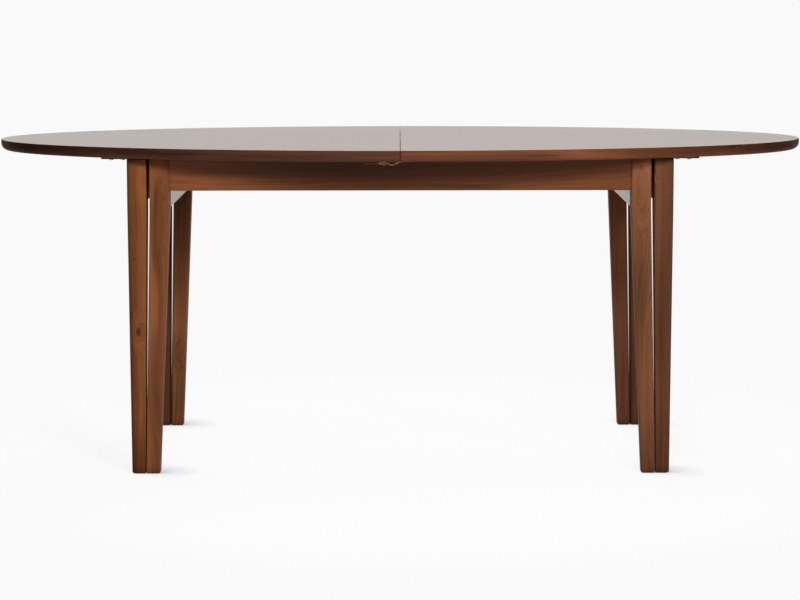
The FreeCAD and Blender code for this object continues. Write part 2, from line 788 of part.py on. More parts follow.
def middle_frame(nodes):
    """Pieces that stay in place: inner leg halves, aprons, rails, guides, bearers, stored leaf."""
    for side_x, end in ((-1, "left"), (1, "right")):
        for side_y, face in ((-1, "front"), (1, "rear")):
            nodes["inner_leg_%s_%s" % (face, end)] = [placed(inner_leg(), side_x, side_y)]
        nodes["%s_inner_rail" % end] = [placed(inner_rail(), side_x, 1)]
        nodes["%s_leaf_bearer" % end] = [placed(bearer(), side_x, 1)]
    for side_y, face in ((-1, "front"), (1, "rear")):
        nodes["%s_apron" % face] = [placed(apron(), 1, side_y)]
        nodes["%s_guide" % face] = [placed(guide(), 1, side_y)]
        nodes["%s_glide_strip" % face] = [placed(glide_strip(), 1, side_y)]
    nodes["spare_leaf"] = [spare_leaf()]
    rear = FreeCAD.Vector(0, 1, 0)
    nodes["leaf_dowels"] = [dowel(place, rear) for place in leaf_dowel_places()]
    nodes["corner_blocks"] = four_sides(corner_block())
    nodes["corner_bolts"] = four_sides(corner_bolt())
    nodes["corner_nuts"] = four_sides(corner_nut())
    nodes["guide_stop_blocks"] = four_sides(stop_block())
    screws = [pan_head(bearer_screw, seat, UP) for seat in bearer_screw_seats(1)]
    nodes["bearer_screws"] = [solid for screw in screws for solid in four_sides(screw)]
    nodes["inner_foot_pads"] = four_sides(foot_pad(False))


def sliding_end(nodes, side_x, end):
    """Pieces that slide out with one half of the top."""
    for side_y, face in ((-1, "front"), (1, "rear")):
        nodes["outer_leg_%s_%s" % (face, end)] = [placed(outer_leg(), side_x, side_y)]
        nodes["%s_%s_runner" % (end, face)] = [placed(runner(), side_x, side_y)]
    nodes["%s_outer_rail" % end] = [placed(outer_rail(), side_x, 1)]
    groups = {
        "runner_lugs": [runner_lug()],
        "runner_screws": [pan_head(runner_screw, seat, UP) for seat in runner_screw_seats()],
        "leg_plates": [leg_plate()],
        "plate_screws": [pan_head(pan_screw, seat, UP) for seat in plate_top_seats()],
        "leg_screws": [flat_head(flat_screw, seat, DOWN) for seat in plate_leg_seats()],
        "rail_brackets": [rail_bracket()],
        "bracket_screws": bracket_screws(),
        "foot_pads": [foot_pad(True)],
    }
    for name, shapes in groups.items():
        copies = [placed(shape, side_x, side_y) for shape in shapes for side_y in (-1, 1)]
        nodes["%s_%s" % (end, name)] = copies


def half_tops(nodes):
    """The two half tops: dowels and lock plates on the left, sockets and keepers on the right."""
    into_left = FreeCAD.Vector(-1, 0, 0)
    left_holes = [dowel_socket(place, into_left, glue_fit, dowel_seat) for place in seam_places()]
    left_holes += with_front_copies([pan_hole(small_pan_screw, seat, UP) for seat in lock_screw_seats()])
    right_holes = [dowel_socket(place, OUT, dowel_fit, dowel_reach) for place in seam_places()]
    keeper_holes = [pan_hole(small_flat_screw, seat, UP) for seat in keeper_screw_seats()]
    right_holes += with_front_copies(keeper_holes)
    nodes["left_top"] = [cut_all(placed(half_top(), -1, 1), left_holes)]
    nodes["right_top"] = [cut_all(half_top(), right_holes)]
    nodes["seam_dowels"] = [dowel(place, OUT) for place in seam_places()]


def catches(nodes):
    """Front and rear catch of the seam."""
    nodes["lock_plates"] = both_sides(lock_plate())
    nodes["lock_pivots"] = both_sides(pivot_pin())
    screws = [pan_head(small_pan_screw, seat, UP) for seat in lock_screw_seats()]
    nodes["lock_plate_screws"] = with_front_copies(screws)
    nodes["lock_keepers"] = both_sides(keeper())
    screws = [flat_head(small_flat_screw, seat, UP) for seat in keeper_screw_seats()]
    nodes["keeper_screws"] = with_front_copies(screws)
    nodes["rear_lock_lever"] = [lock_lever()]
    nodes["front_lock_lever"] = [placed(lock_lever(), 1, -1)]


def main():
    nodes = {}
    middle_frame(nodes)
    sliding_end(nodes, -1, "left")
    sliding_end(nodes, 1, "right")
    half_tops(nodes)
    catches(nodes)
    os.makedirs("parts", exist_ok=True)
    for name, shapes in nodes.items():
        shape = shapes[0] if len(shapes) == 1 else Part.makeCompound(shapes)
        facts = (name, len(shape.Solids), shape.Volume, shape.isValid())
        print("%-24s solids %2d volume %12.1f valid %s" % facts)
        shape.exportStep("parts/%s.step" % name)


main()
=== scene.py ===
import json
import math

import bpy
from mathutils import Matrix, Vector

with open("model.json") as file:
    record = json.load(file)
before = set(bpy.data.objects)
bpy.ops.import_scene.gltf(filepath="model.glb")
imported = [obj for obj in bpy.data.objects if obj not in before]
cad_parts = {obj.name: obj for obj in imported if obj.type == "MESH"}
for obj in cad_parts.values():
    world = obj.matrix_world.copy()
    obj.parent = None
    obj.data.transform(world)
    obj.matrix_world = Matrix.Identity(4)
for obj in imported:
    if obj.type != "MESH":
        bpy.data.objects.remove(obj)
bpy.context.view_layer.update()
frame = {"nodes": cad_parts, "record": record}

# Oval walnut extension table: finishes, stage, lamps and camera. Metres, +Z up, front at -Y.

ENDS = ("left", "right")
FACES = ("front", "rear")
AXIS_ORDER = {"X": "XYZ", "Y": "YXZ", "Z": "ZXY"}  # the axis of the grain comes first
WHITE = (1.0, 1.0, 1.0, 1.0)

# Camera: fitted to the rim and the feet in an image of 800 by 600 pixels, angles in radians
IMAGE_WIDTH = 800
FOCAL_PIXELS = 2682.58
SENSOR_WIDTH = 36.0
CAMERA_PLACE = Vector((-0.0051, -6.32786, 1.10849))
CAMERA_YAW = 0.00067
CAMERA_PITCH = 0.11869
CAMERA_ROLL = 0.00141

# Lamps: degrees to the right of the front, degrees up, distance, size, watts
LAMPS = {
    "front": (8.0, 27.0, 2.2, 0.35, 30.0),
    "right": (20.0, 18.0, 4.5, 0.45, 41.0),
    "far_right": (38.0, 17.0, 4.5, 0.45, 19.0),
    "rear": (180.0, 35.0, 3.5, 1.8, 60.0),
}
LAMP_AIM = Vector((0.0, -0.2, 0.55))

# Stage: the white that is seen, the light on the object, and the floor
BACKDROP_WHITE = 0.947
AMBIENT_STRENGTH = 0.15
FLOOR_SIZE = 80.0
FLOOR_COLOUR = (0.8, 0.8, 0.8, 1.0)
FLOOR_SHADOW_SHARE = 0.12
FLOOR_NEAR_WHITE = 1.02
FLOOR_NEAR_RADIUS = 0.9
FLOOR_FAR_RADIUS = 1.5
CONTACT_REACH = 0.09
CONTACT_SIDE = (-0.80, -0.50, 0.33)
CONTACT_DEPTH = 0.75

# Linear colours of the woods
WALNUT = {
    "light": (0.240, 0.082, 0.024),
    "middle": (0.165, 0.054, 0.017),
    "dark": (0.088, 0.031, 0.013),
    "line": (0.046, 0.018, 0.009),
}
BEECH = {
    "light": (0.62, 0.42, 0.25),
    "middle": (0.53, 0.33, 0.18),
    "dark": (0.42, 0.24, 0.12),
    "line": (0.34, 0.18, 0.09),
}
BEECH_TONE = (1.0, 1.0, 1.0)
BEECH_SEED = 3.0
BEECH_SHINE = 0.06

# Place of a piece in the log: pace of the seed, and how far it reaches along and across the grain
LOG_PACE = (12.9, 78.2, 37.7)
LOG_REACH = (7.0, 5.0, 5.0)

# Kinds of noise: waves per metre on each axis, detail, roughness. In wood the first axis is along
# the grain.
WANDER = ((1.3, 6.0, 6.0), 2.0, 0.5)
BROAD = ((1.0, 34.0, 34.0), 2.0, 0.5)
NARROW = ((2.0, 120.0, 120.0), 3.0, 0.55)
HUE = ((0.8, 20.0, 20.0), 1.0, 0.5)
FIBRE = ((14.0, 800.0, 800.0), 2.0, 0.5)
PORES = ((70.0, 1500.0, 1500.0), 1.0, 0.5)
CLOUD = ((5.0, 5.0, 5.0), 2.0, 0.5)
METAL_PATCHES = ((90.0, 90.0, 90.0), 4.0, 0.6)
PLASTIC_MOTTLE = ((60.0, 60.0, 60.0), 3.0, 0.5)
PLASTIC_TEXTURE = ((1800.0, 1800.0, 1800.0), 2.0, 0.5)

# Grain: sideways push, growth lines, and the noise from which each pattern starts and is full
WANDER_PUSH = 0.05
DEPTH_PUSH_SHARE = 0.6
GROWTH_PITCH = 0.0055
GROWTH_SLANT = 0.8
GROWTH_WAVER = 0.03
GROWTH_WAVE = (0.2, 1.0)
GROWTH_HUE = (0.38, 0.62)
PORE_RANGE = (0.66, 0.78)
LIGHT_BROAD = (0.30, 0.72)
DARK_HUE = (0.52, 0.30)
LINE_STREAK = (0.52, 0.76)
LIGHT_STREAK = (0.48, 0.25)

# Figures against their radius: reach of the swell, rim and heart of a knot's core
SWELL_REACH = 3.0
CORE_RIM = 0.7
CORE_HEART = 0.2

# How much of a shade is laid over the wood
DARK_HUE_SHARE = 0.6
LINE_STREAK_SHARE = 0.55
LIGHT_STREAK_SHARE = 0.45
CORE_SHARE = 0.8
PORE_SHARE = 0.45
# Lighter edges: partly wear, partly a painted highlight
WORN_EDGE_HIGHLIGHT_SHARE = 0.3

# Tones of wood, and the part of the normal that makes a face an end, an upper face or an underside.
# The upper face's tint and the lighter underside are painted light, the crevice tone painted shade.
FIBRE_TONES = (0.90, 1.10)
CLOUD_TONES = (-0.12, 0.12)
END_GRAIN_FACING = (0.1, 0.75)
END_GRAIN_TONE = 0.4
UPPER_FACING = (0.80, 0.98)
# Painted light: tint of the upper face, standing for the warm grey it reflects
UPPER_FACE_PAINTED_TINT = (0.85, 1.10, 0.88)
UNDERSIDE_FACING = (-0.1, -0.7)
# Painted light: downward faces made lighter so the rounded lower edge of the rim looks as lit as
# its face
UNDERSIDE_PAINTED_LIGHT = 1.45
# Painted shade in slits and corners
CREVICE_PAINTED_SHADE = 0.25
CREVICE_SAMPLES = 6
SEAM_LINE = (0.0022, 0.00088)
SEAM_TONE = 0.45
SEAM_COAT = 0.55

# Surface of wood
COAT_ROUGHNESS = 0.19
COAT_IOR = 1.52
GLOSS_SPREAD = (-0.05, 0.07)
PORE_ROUGHNESS = 0.12
WORN_ROUGHNESS = 0.12
WORN_SPREAD = (0.1, 0.6)
FIBRE_RELIEF = 0.35
PORE_RELIEF = 0.8
WOOD_RELIEF = 0.00010

# Worn edges: width on each material, and the bend of the normal that counts as an edge
WOOD_EDGE = 0.0018
METAL_EDGE = 0.0006
PLASTIC_EDGE = 0.0008
EDGE_BEND = (0.995, 0.80)
EDGE_SAMPLES = 4

# Metals: fresh colour, dull colour, roughness, brushing in waves per metre, and the ends in x of a
# lit stretch; beyond the lit stretch the metal takes the dull colour as painted shade
METALS = {
    "zinc_steel": ((0.55, 0.56, 0.57), (0.36, 0.36, 0.36), 0.32, (40.0, 900.0, 900.0), ()),
    "brass": (
        (0.50, 0.265, 0.085), (0.13, 0.070, 0.026), 0.38, (60.0, 1200.0, 1200.0), (-0.049, 0.0),
    ),
    "black_steel": ((0.035, 0.033, 0.031), (0.02, 0.019, 0.018), 0.45, (40.0, 700.0, 700.0), ()),
}
TARNISH_RANGE = (0.42, 0.68)
# Painted shade: how fast the metal turns dull beyond the lit stretch
PAINTED_SHADE_FADES = (-0.006, 0.006)
WORN_METAL_GAIN = 1.25
WORN_METAL_SHARE = 0.6
WORN_METAL_POLISH = 0.1
METAL_SPREAD = (-0.08, 0.16)
BRUSHING_SPREAD = (-0.05, 0.05)
BRUSHING_DETAIL = (2.0, 0.5)
METAL_RELIEF = 0.00004

# Plastics: colour, scuffed colour, roughness
PLASTICS = {
    "glide_pad": ((0.075, 0.052, 0.038), (0.13, 0.10, 0.08), 0.6),
    "glide_tape": ((0.66, 0.62, 0.54), (0.50, 0.46, 0.40), 0.45),
}
MOTTLE_RANGE = (0.4, 0.7)
MOTTLE_SHARE = 0.5
SCUFFED_SHARE = 0.6
PLASTIC_SPREAD = (-0.08, 0.1)
PLASTIC_RELIEF = 0.00006

# Finish of each material slot in the record that isn't wood
SLOT_FINISHES = {
    "steel": "zinc_steel",
    "black_steel": "black_steel",
    "brass": "brass",
    "glide_plastic": "glide_pad",
    "nylon": "glide_tape",
}

# Options of wood() for each kind of walnut piece
# crevice is the reach of the painted shade in slits and corners
LEG_CUT = {"crevice": 0.022}
OUTER_RAIL_CUT = {"spread": (0.4, 1.0), "lines": 0.8}
INNER_RAIL_CUT = {"spread": (0.4, 1.0), "gloss": 0.28, "shine": 0.82}
APRON_CUT = {"spread": (0.4, 1.0), "lines": 0.8, "shine": 0.16, "crevice": 0.006}
LEAF_CUT = {"spread": (0.3, 1.0), "polish": 0.77}
TOP_CUT = {**LEAF_CUT, "seam": True}

# Red, green and blue of each walnut piece against the plain walnut: partly the piece's own tone and
# partly painted light and shade, such as the darker rim of the left top, standing for light that
# falls from the right
PIECE_TONES = {
    "outer_leg_front_left": (1.06, 1.05, 1.17),
    "inner_leg_front_left": (1.08, 1.14, 1.42),
    "inner_leg_front_right": (0.88, 1.03, 1.46),
    "outer_leg_front_right": (0.69, 0.79, 1.19),
    "outer_leg_rear_left": (0.56, 0.62, 0.82),
    "inner_leg_rear_left": (1.14, 1.28, 1.65),
    "inner_leg_rear_right": (0.86, 0.94, 1.30),
    "outer_leg_rear_right": (0.60, 0.64, 0.85),
    "front_apron": (0.72, 0.70, 0.82),
    "rear_apron": (0.72, 0.70, 0.82),
    "left_top": (0.42, 0.50, 0.87),
    "right_top": (0.65, 0.67, 1.02),
}
OTHER_TONE = (0.80, 0.84, 0.88)

# Figures in the wood and painted light: place, radius, length over width, sideways push of the
# grain, tone, kind. A knot has a dark core. A patch makes the wood lighter or darker round its
# place; the patches marked below are painted light and shade. The y of a place is a face that the
# camera sees.
KNOT, PATCH = "knot", "patch"
LEG_Y = -0.349
REAR_LEG_Y = 0.300
APRON_Y = -0.345
RIM_Y = -0.442
PIECE_FIGURES_AND_PAINTED_LIGHT = {
    "outer_leg_front_left": (
        ((-0.589, LEG_Y, 0.324), 0.011, 1.8, 0.030, 0.85, KNOT),
        ((-0.597, LEG_Y, 0.487), 0.003, 1.6, 0.006, 1.0, KNOT),
        ((-0.577, LEG_Y, 0.668), 0.007, 4.0, 0.018, 1.0, PATCH),
        # Painted shade: the leg darker towards the foot
        ((-0.592, LEG_Y, 0.000), 0.020, 2.5, 0.0, 0.55, PATCH),
    ),
    "inner_leg_front_left": (
        ((-0.545, LEG_Y, 0.570), 0.009, 7.0, 0.022, 0.70, PATCH),
        ((-0.553, LEG_Y, 0.205), 0.008, 7.0, 0.020, 0.85, PATCH),
        ((-0.556, LEG_Y, 0.300), 0.012, 7.0, 0.0, 1.3, PATCH),
    ),
    "inner_leg_front_right": (
        ((0.533, LEG_Y, 0.640), 0.009, 5.0, 0.035, 0.95, PATCH),
        ((0.545, LEG_Y, 0.705), 0.014, 3.0, 0.0, 1.35, PATCH),
        # Painted shade: the leg darker towards the foot
        ((0.555, LEG_Y, 0.000), 0.020, 2.5, 0.0, 0.68, PATCH),
        ((0.538, LEG_Y, 0.400), 0.012, 6.0, 0.010, 0.60, PATCH),
        ((0.562, LEG_Y, 0.200), 0.010, 8.0, 0.020, 1.2, PATCH),
    ),
    "outer_leg_front_right": (
        ((0.574, LEG_Y, 0.669), 0.0035, 1.4, 0.008, 1.0, KNOT),
        ((0.590, LEG_Y, 0.380), 0.014, 7.0, 0.010, 0.60, PATCH),
        ((0.588, LEG_Y, 0.680), 0.010, 5.0, 0.0, 1.12, PATCH),
        # Painted shade: the leg darker towards the foot
        ((0.583, LEG_Y, 0.000), 0.022, 3.0, 0.0, 0.72, PATCH),
    ),
    "inner_leg_rear_left": (
        ((-0.557, REAR_LEG_Y, 0.188), 0.012, 2.0, 0.030, 0.85, KNOT),
        # Painted shade: the leg darker towards the foot
        ((-0.553, REAR_LEG_Y, 0.060), 0.022, 3.0, 0.0, 0.62, PATCH),
        # Painted shadow of the top on the upper part of the rear leg
        ((-0.545, REAR_LEG_Y, 0.640), 0.024, 3.0, 0.0, 0.44, PATCH),
    ),
    "inner_leg_rear_right": (
        ((0.550, REAR_LEG_Y, 0.430), 0.004, 1.6, 0.006, 1.0, KNOT),
        ((0.558, REAR_LEG_Y, 0.040), 0.004, 1.6, 0.006, 1.0, KNOT),
    ),
    "front_apron": (
        # Painted light and shade: lighter at the left end and darker towards the middle, where the
        # rim's shadow falls deepest
        ((-0.470, APRON_Y, 0.660), 0.040, 3.0, 0.0, 1.45, PATCH),
        ((-0.080, APRON_Y, 0.660), 0.040, 3.5, 0.0, 0.68, PATCH),
        ((0.380, APRON_Y, 0.660), 0.040, 3.0, 0.0, 0.86, PATCH),
    ),
    "right_top": (
        # Partly a lighter streak in the wood and partly a painted highlight on the rim
        ((0.440, RIM_Y, 0.730), 0.020, 4.0, 0.0, 1.35, PATCH),
    ),
}


class Tree:
    """Short calls that add and join the nodes of one material or world."""

    def __init__(self, owner):
        owner.use_nodes = True
        self.owner = owner
        self.nodes = owner.node_tree.nodes
        self.links = owner.node_tree.links

    def put(self, socket, value):
        """Gives a socket a link from another node's output, or a constant."""
        if isinstance(value, bpy.types.NodeSocket):
            self.links.new(value, socket)
        else:
            socket.default_value = value

    def math(self, operation, *values):
        node = self.nodes.new("ShaderNodeMath")
        node.operation = operation
        for socket, value in zip(node.inputs, values):
            self.put(socket, value)
        return node.outputs[0]

    def plus(self, first, second):
        return self.math("ADD", first, second)

    def times(self, first, second):
        return self.math("MULTIPLY", first, second)

    def vector(self, operation, *values):
        node = self.nodes.new("ShaderNodeVectorMath")
        node.operation = operation
        for socket, value in zip(node.inputs, values):
            self.put(socket, value)
        return node.outputs["Value" if operation in ("LENGTH", "DOT_PRODUCT") else "Vector"]

    def split(self, vector):
        node = self.nodes.new("ShaderNodeSeparateXYZ")
        self.put(node.inputs[0], vector)
        return node.outputs

    def join(self, *values):
        node = self.nodes.new("ShaderNodeCombineXYZ")
        for socket, value in zip(node.inputs, values):
            self.put(socket, value)
        return node.outputs[0]

    def noise(self, vector, kind):
        """Noise of one of the kinds listed above."""
        waves, detail, roughness = kind
        node = self.nodes.new("ShaderNodeTexNoise")
        self.put(node.inputs["Vector"], self.vector("MULTIPLY", vector, waves))
        self.put(node.inputs["Scale"], 1.0)
        self.put(node.inputs["Detail"], detail)
        self.put(node.inputs["Roughness"], roughness)
        return node.outputs["Fac"]

    def ramp(self, value, low, high):
        """Smooth step from 0 at low to 1 at high."""
        node = self.nodes.new("ShaderNodeMapRange")
        node.interpolation_type = "SMOOTHSTEP"
        self.put(node.inputs["Value"], value)
        self.put(node.inputs["From Min"], low)
        self.put(node.inputs["From Max"], high)
        return node.outputs["Result"]

    def span(self, value, low, high):
        """Moves a value from 0..1 to low..high."""
        node = self.nodes.new("ShaderNodeMapRange")
        self.put(node.inputs["Value"], value)
        self.put(node.inputs["To Min"], low)
        self.put(node.inputs["To Max"], high)
        return node.outputs["Result"]

    def mix(self, share, first, second, blend="MIX"):
        node = self.nodes.new("ShaderNodeMix")
        node.data_type = "RGBA"
        node.blend_type = blend
        self.put(node.inputs["Factor"], share)
        colours = [socket for socket in node.inputs if socket.type == "RGBA"]
        for socket, value in zip(colours, (first, second)):
            self.put(socket, (*value, 1.0) if isinstance(value, tuple) else value)
        return next(socket for socket in node.outputs if socket.type == "RGBA")

    def coordinates(self):
        return self.nodes.new("ShaderNodeTexCoord").outputs["Object"]

    def normal(self):
        return self.nodes.new("ShaderNodeNewGeometry").outputs["Normal"]

    def edges(self, radius):
        """1 along sharp edges, 0 on flat faces."""
        bevel = self.nodes.new("ShaderNodeBevel")
        bevel.samples = EDGE_SAMPLES
        self.put(bevel.inputs["Radius"], radius)
        bend = self.vector("DOT_PRODUCT", bevel.outputs["Normal"], self.normal())
        return self.ramp(bend, *EDGE_BEND)

    def painted_crevice_shade(self, reach):
        """Painted shade: 1 on open faces, towards 0 in slits and corners."""
        node = self.nodes.new("ShaderNodeAmbientOcclusion")
        node.samples = CREVICE_SAMPLES
        self.put(node.inputs["Distance"], reach)
        return node.outputs["AO"]

    def seen(self):
        """1 for rays that come from the camera, a mirror or glass."""
        path = self.nodes.new("ShaderNodeLightPath").outputs
        direct = self.math("MAXIMUM", path["Is Camera Ray"], path["Is Glossy Ray"])
        return self.math("MAXIMUM", direct, path["Is Transmission Ray"])

    def bump(self, height, distance):
        node = self.nodes.new("ShaderNodeBump")
        self.put(node.inputs["Distance"], distance)
        self.put(node.inputs["Height"], height)
        return node.outputs["Normal"]

    def finish(self, **values):
        """Sets the shader: Base_Color stands for the socket Base Color. Returns the material."""
        shader = self.nodes["Principled BSDF"]
        for name, value in values.items():
            self.put(shader.inputs[name.replace("_", " ")], value)
        return self.owner


def spread_round(value, spread):
    """The lowest and the highest of a spread round a value."""
    return [value + step for step in spread]


def grain_space(tree, axis, seed):
    """Coordinates with the grain along X, plain and moved to the piece's own place in the log."""
    split = tree.split(tree.coordinates())
    plain = tree.join(*[split[letter] for letter in AXIS_ORDER[axis]])
    offset = [math.sin(seed * pace) * reach for pace, reach in zip(LOG_PACE, LOG_REACH)]
    return plain, tree.vector("ADD", plain, offset)


def add_figures(tree, plain, axis, figures_and_painted_light):
    """Sideways push of the grain round the knots and patches, their tone, part of which is painted
    light and shade, and the dark cores of the knots.
    """
    push, tone, core = 0.0, 1.0, 0.0
    for place, radius, stretch, strength, shade, kind in figures_and_painted_light:
        letters = dict(zip("XYZ", place))
        centre = [letters[letter] for letter in AXIS_ORDER[axis]]
        away = tree.vector("SUBTRACT", plain, centre)
        distance = tree.vector("LENGTH", tree.vector("MULTIPLY", away, (1 / stretch, 1.0, 1.0)))
        swell = tree.ramp(distance, radius * SWELL_REACH, 0.0)
        push = tree.plus(push, tree.times(swell, strength))
        tone = tree.times(tone, tree.span(swell, 1.0, shade))
        if kind == KNOT:
            heart = tree.ramp(distance, radius * CORE_RIM, radius * CORE_HEART)
            core = tree.math("MAXIMUM", core, heart)
    return push, tone, core


def grain_patterns(tree, place, push):
    """Streaks, fibres, pores and growth lines along grain that wanders and swells round knots."""
    shift = tree.plus(tree.times(tree.noise(place, WANDER), WANDER_PUSH), push)
    sideways = tree.join(0.0, shift, tree.times(shift, DEPTH_PUSH_SHARE))
    flow = tree.vector("ADD", place, sideways)
    grain = {
        "broad": tree.noise(flow, BROAD),
        "narrow": tree.noise(flow, NARROW),
        "hue": tree.noise(flow, HUE),
        "fibre": tree.noise(flow, FIBRE),
        "pores": tree.ramp(tree.noise(flow, PORES), *PORE_RANGE),
        "cloud": tree.noise(place, CLOUD),
    }
    # Growth lines, unevenly wide and strong
    sides = tree.split(flow)
    across = tree.plus(sides["Y"], tree.times(sides["Z"], GROWTH_SLANT))
    across = tree.plus(across, tree.times(grain["broad"], GROWTH_WAVER))
    wave = tree.math("SINE", tree.times(across, 2 * math.pi / GROWTH_PITCH))
    strength = tree.ramp(grain["hue"], *GROWTH_HUE)
    grain["growth"] = tree.times(tree.ramp(wave, *GROWTH_WAVE), strength)
    return grain


def grain_colour(tree, colours, grain, lines, core):
    """Colour of the wood before its tone: streaks, growth lines and the cores of knots."""
    colour = tree.mix(tree.ramp(grain["broad"], *LIGHT_BROAD), colours["middle"], colours["light"])
    layers = (
        (tree.ramp(grain["hue"], *DARK_HUE), DARK_HUE_SHARE, "dark"),
        (grain["growth"], lines, "dark"),
        (tree.ramp(grain["narrow"], *LINE_STREAK), LINE_STREAK_SHARE, "line"),
        (tree.ramp(grain["narrow"], *LIGHT_STREAK), LIGHT_STREAK_SHARE, "light"),
        (core, CORE_SHARE, "line"),
    )
    for cover, share, shade in layers:
        colour = tree.mix(tree.times(cover, share), colour, colours[shade])
    return colour


def wood(name, colours, axis, seed, tone=OTHER_TONE, figures_and_painted_light=(), spread=(1.0, 0.6), lines=0.4,
         gloss=0.5, shine=0.015, polish=0.0, crevice=0.0, seam=False):
    """Lacquered wood with streaks, growth lines, pores, knots, and worn edges that are partly a
    painted highlight, its grain along axis; it also carries painted light and shade.

    spread is how fast the figure changes along the two axes across the grain, lines the strength of
    the growth lines, gloss the roughness and shine the specular level. polish is the weight of a
    clear coat on the upper face, which also gets a painted tint, and a polished piece's downward
    faces are painted lighter. crevice is how far the painted shade in slits and corners reaches.
    seam puts a dark line at x 0 on a polished piece. Some of the patches are painted light and
    shade, and the lighter worn edges are partly a painted highlight.
    """
    tree = Tree(bpy.data.materials.new(name))
    plain, place = grain_space(tree, axis, seed)
    push, patch, core = add_figures(tree, plain, axis, figures_and_painted_light)
    grain = grain_patterns(tree, tree.vector("MULTIPLY", place, (1.0, *spread)), push)
    colour = grain_colour(tree, colours, grain, lines, core)

    # Tone of the piece and of its patches, both partly painted light and shade; its end grain;
    # painted light on its underside and upper face; painted shade in slits and corners; and the
    # seam
    facing = tree.split(tree.normal())
    end_grain = tree.ramp(tree.math("ABSOLUTE", facing[axis]), *END_GRAIN_FACING)
    cloud = grain["cloud"]
    value = tree.plus(tree.span(grain["fibre"], *FIBRE_TONES), tree.span(cloud, *CLOUD_TONES))
    # patch is the tone of the patches, some of them painted light and shade
    value = tree.times(value, tree.times(patch, tree.span(end_grain, 1.0, END_GRAIN_TONE)))
    shades = tone
    if polish:
        # Painted light: downward faces made lighter
        underside = tree.ramp(facing["Z"], *UNDERSIDE_FACING)
        value = tree.times(value, tree.span(underside, 1.0, UNDERSIDE_PAINTED_LIGHT))
        upper = tree.ramp(facing["Z"], *UPPER_FACING)
        # Painted light: the upper face gets its own lighter, greener tint, standing for the warm
        # grey it reflects
        shades = [tree.span(upper, *pair) for pair in zip(tone, UPPER_FACE_PAINTED_TINT)]
        coat = tree.times(upper, polish)
    if crevice:
        # Painted shade: darker in slits, corners and under the top
        value = tree.times(value, tree.span(tree.painted_crevice_shade(crevice), CREVICE_PAINTED_SHADE, 1.0))
    if seam:
        joint = tree.ramp(tree.math("ABSOLUTE", tree.split(plain)["X"]), *SEAM_LINE)
        value = tree.times(value, tree.span(joint, 1.0, SEAM_TONE))
        coat = tree.times(coat, tree.span(joint, 1.0, SEAM_COAT))
    tint = tree.join(*[tree.times(value, shade) for shade in shades])
    colour = tree.mix(1.0, colour, tint, "MULTIPLY")

    # Pores, and worn edges made lighter: partly wear and partly a painted highlight along the edges
    pores = grain["pores"]
    worn = tree.times(tree.edges(WOOD_EDGE), tree.span(cloud, *WORN_SPREAD))
    colour = tree.mix(tree.times(pores, PORE_SHARE), colour, colours["line"])
    # Wear and painted highlight: edges lighter
    colour = tree.mix(tree.times(worn, WORN_EDGE_HIGHLIGHT_SHARE), colour, colours["light"])
    rough = tree.span(grain["narrow"], *spread_round(gloss, GLOSS_SPREAD))
    rough = tree.plus(rough, tree.times(worn, WORN_ROUGHNESS))
    rough = tree.plus(rough, tree.times(pores, PORE_ROUGHNESS))
    relief = tree.times(grain["fibre"], FIBRE_RELIEF)
    relief = tree.math("SUBTRACT", relief, tree.times(pores, PORE_RELIEF))
    if polish:
        tree.finish(Coat_Weight=coat, Coat_Roughness=COAT_ROUGHNESS, Coat_IOR=COAT_IOR)
    return tree.finish(Base_Color=colour, Roughness=rough, Specular_IOR_Level=shine,
                       Normal=tree.bump(relief, WOOD_RELIEF))


def metal(name):
    """Brushed metal with dull patches and bright worn edges, painted dull as shade beyond its lit
    stretch.
    """
    colour, dull, roughness, streak, lit_stretch = METALS[name]
    tree = Tree(bpy.data.materials.new(name))
    place = tree.coordinates()
    patches = tree.noise(place, METAL_PATCHES)
    brushing = tree.noise(place, (streak, *BRUSHING_DETAIL))
    worn = tree.edges(METAL_EDGE)
    tarnish_and_painted_shade = tree.ramp(patches, *TARNISH_RANGE)
    # Painted shade: dull beyond the lit stretch, standing for the rim's shadow on the lock
    for end, fade in zip(lit_stretch, PAINTED_SHADE_FADES):
        beyond = tree.ramp(tree.split(place)["X"], end, end + fade)
        tarnish_and_painted_shade = tree.math("MAXIMUM", tarnish_and_painted_shade, beyond)
    tone = tree.mix(tarnish_and_painted_shade, colour, dull)
    bright = tuple(min(1.0, channel * WORN_METAL_GAIN) for channel in colour)
    rough = tree.span(patches, *spread_round(roughness, METAL_SPREAD))
    rough = tree.plus(rough, tree.span(brushing, *BRUSHING_SPREAD))
    rough = tree.math("SUBTRACT", rough, tree.times(worn, WORN_METAL_POLISH))
    return tree.finish(Base_Color=tree.mix(tree.times(worn, WORN_METAL_SHARE), tone, bright),
                       Metallic=1.0, Roughness=rough, Normal=tree.bump(brushing, METAL_RELIEF))


def plastic(name):
    """Moulded plastic with a fine texture, faint mottling and scuffed edges."""
    colour, scuffed, roughness = PLASTICS[name]
    tree = Tree(bpy.data.materials.new(name))
    place = tree.coordinates()
    mottle = tree.noise(place, PLASTIC_MOTTLE)
    texture = tree.noise(place, PLASTIC_TEXTURE)
    worn = tree.edges(PLASTIC_EDGE)
    tone = tree.mix(tree.times(tree.ramp(mottle, *MOTTLE_RANGE), MOTTLE_SHARE), colour, scuffed)
    return tree.finish(Base_Color=tree.mix(tree.times(worn, SCUFFED_SHARE), tone, scuffed),
                       Roughness=tree.span(mottle, *spread_round(roughness, PLASTIC_SPREAD)),
                       Normal=tree.bump(texture, PLASTIC_RELIEF))


def dress(node, material):
    slots = frame["nodes"][node].data.materials
    slots.clear()
    slots.append(material)


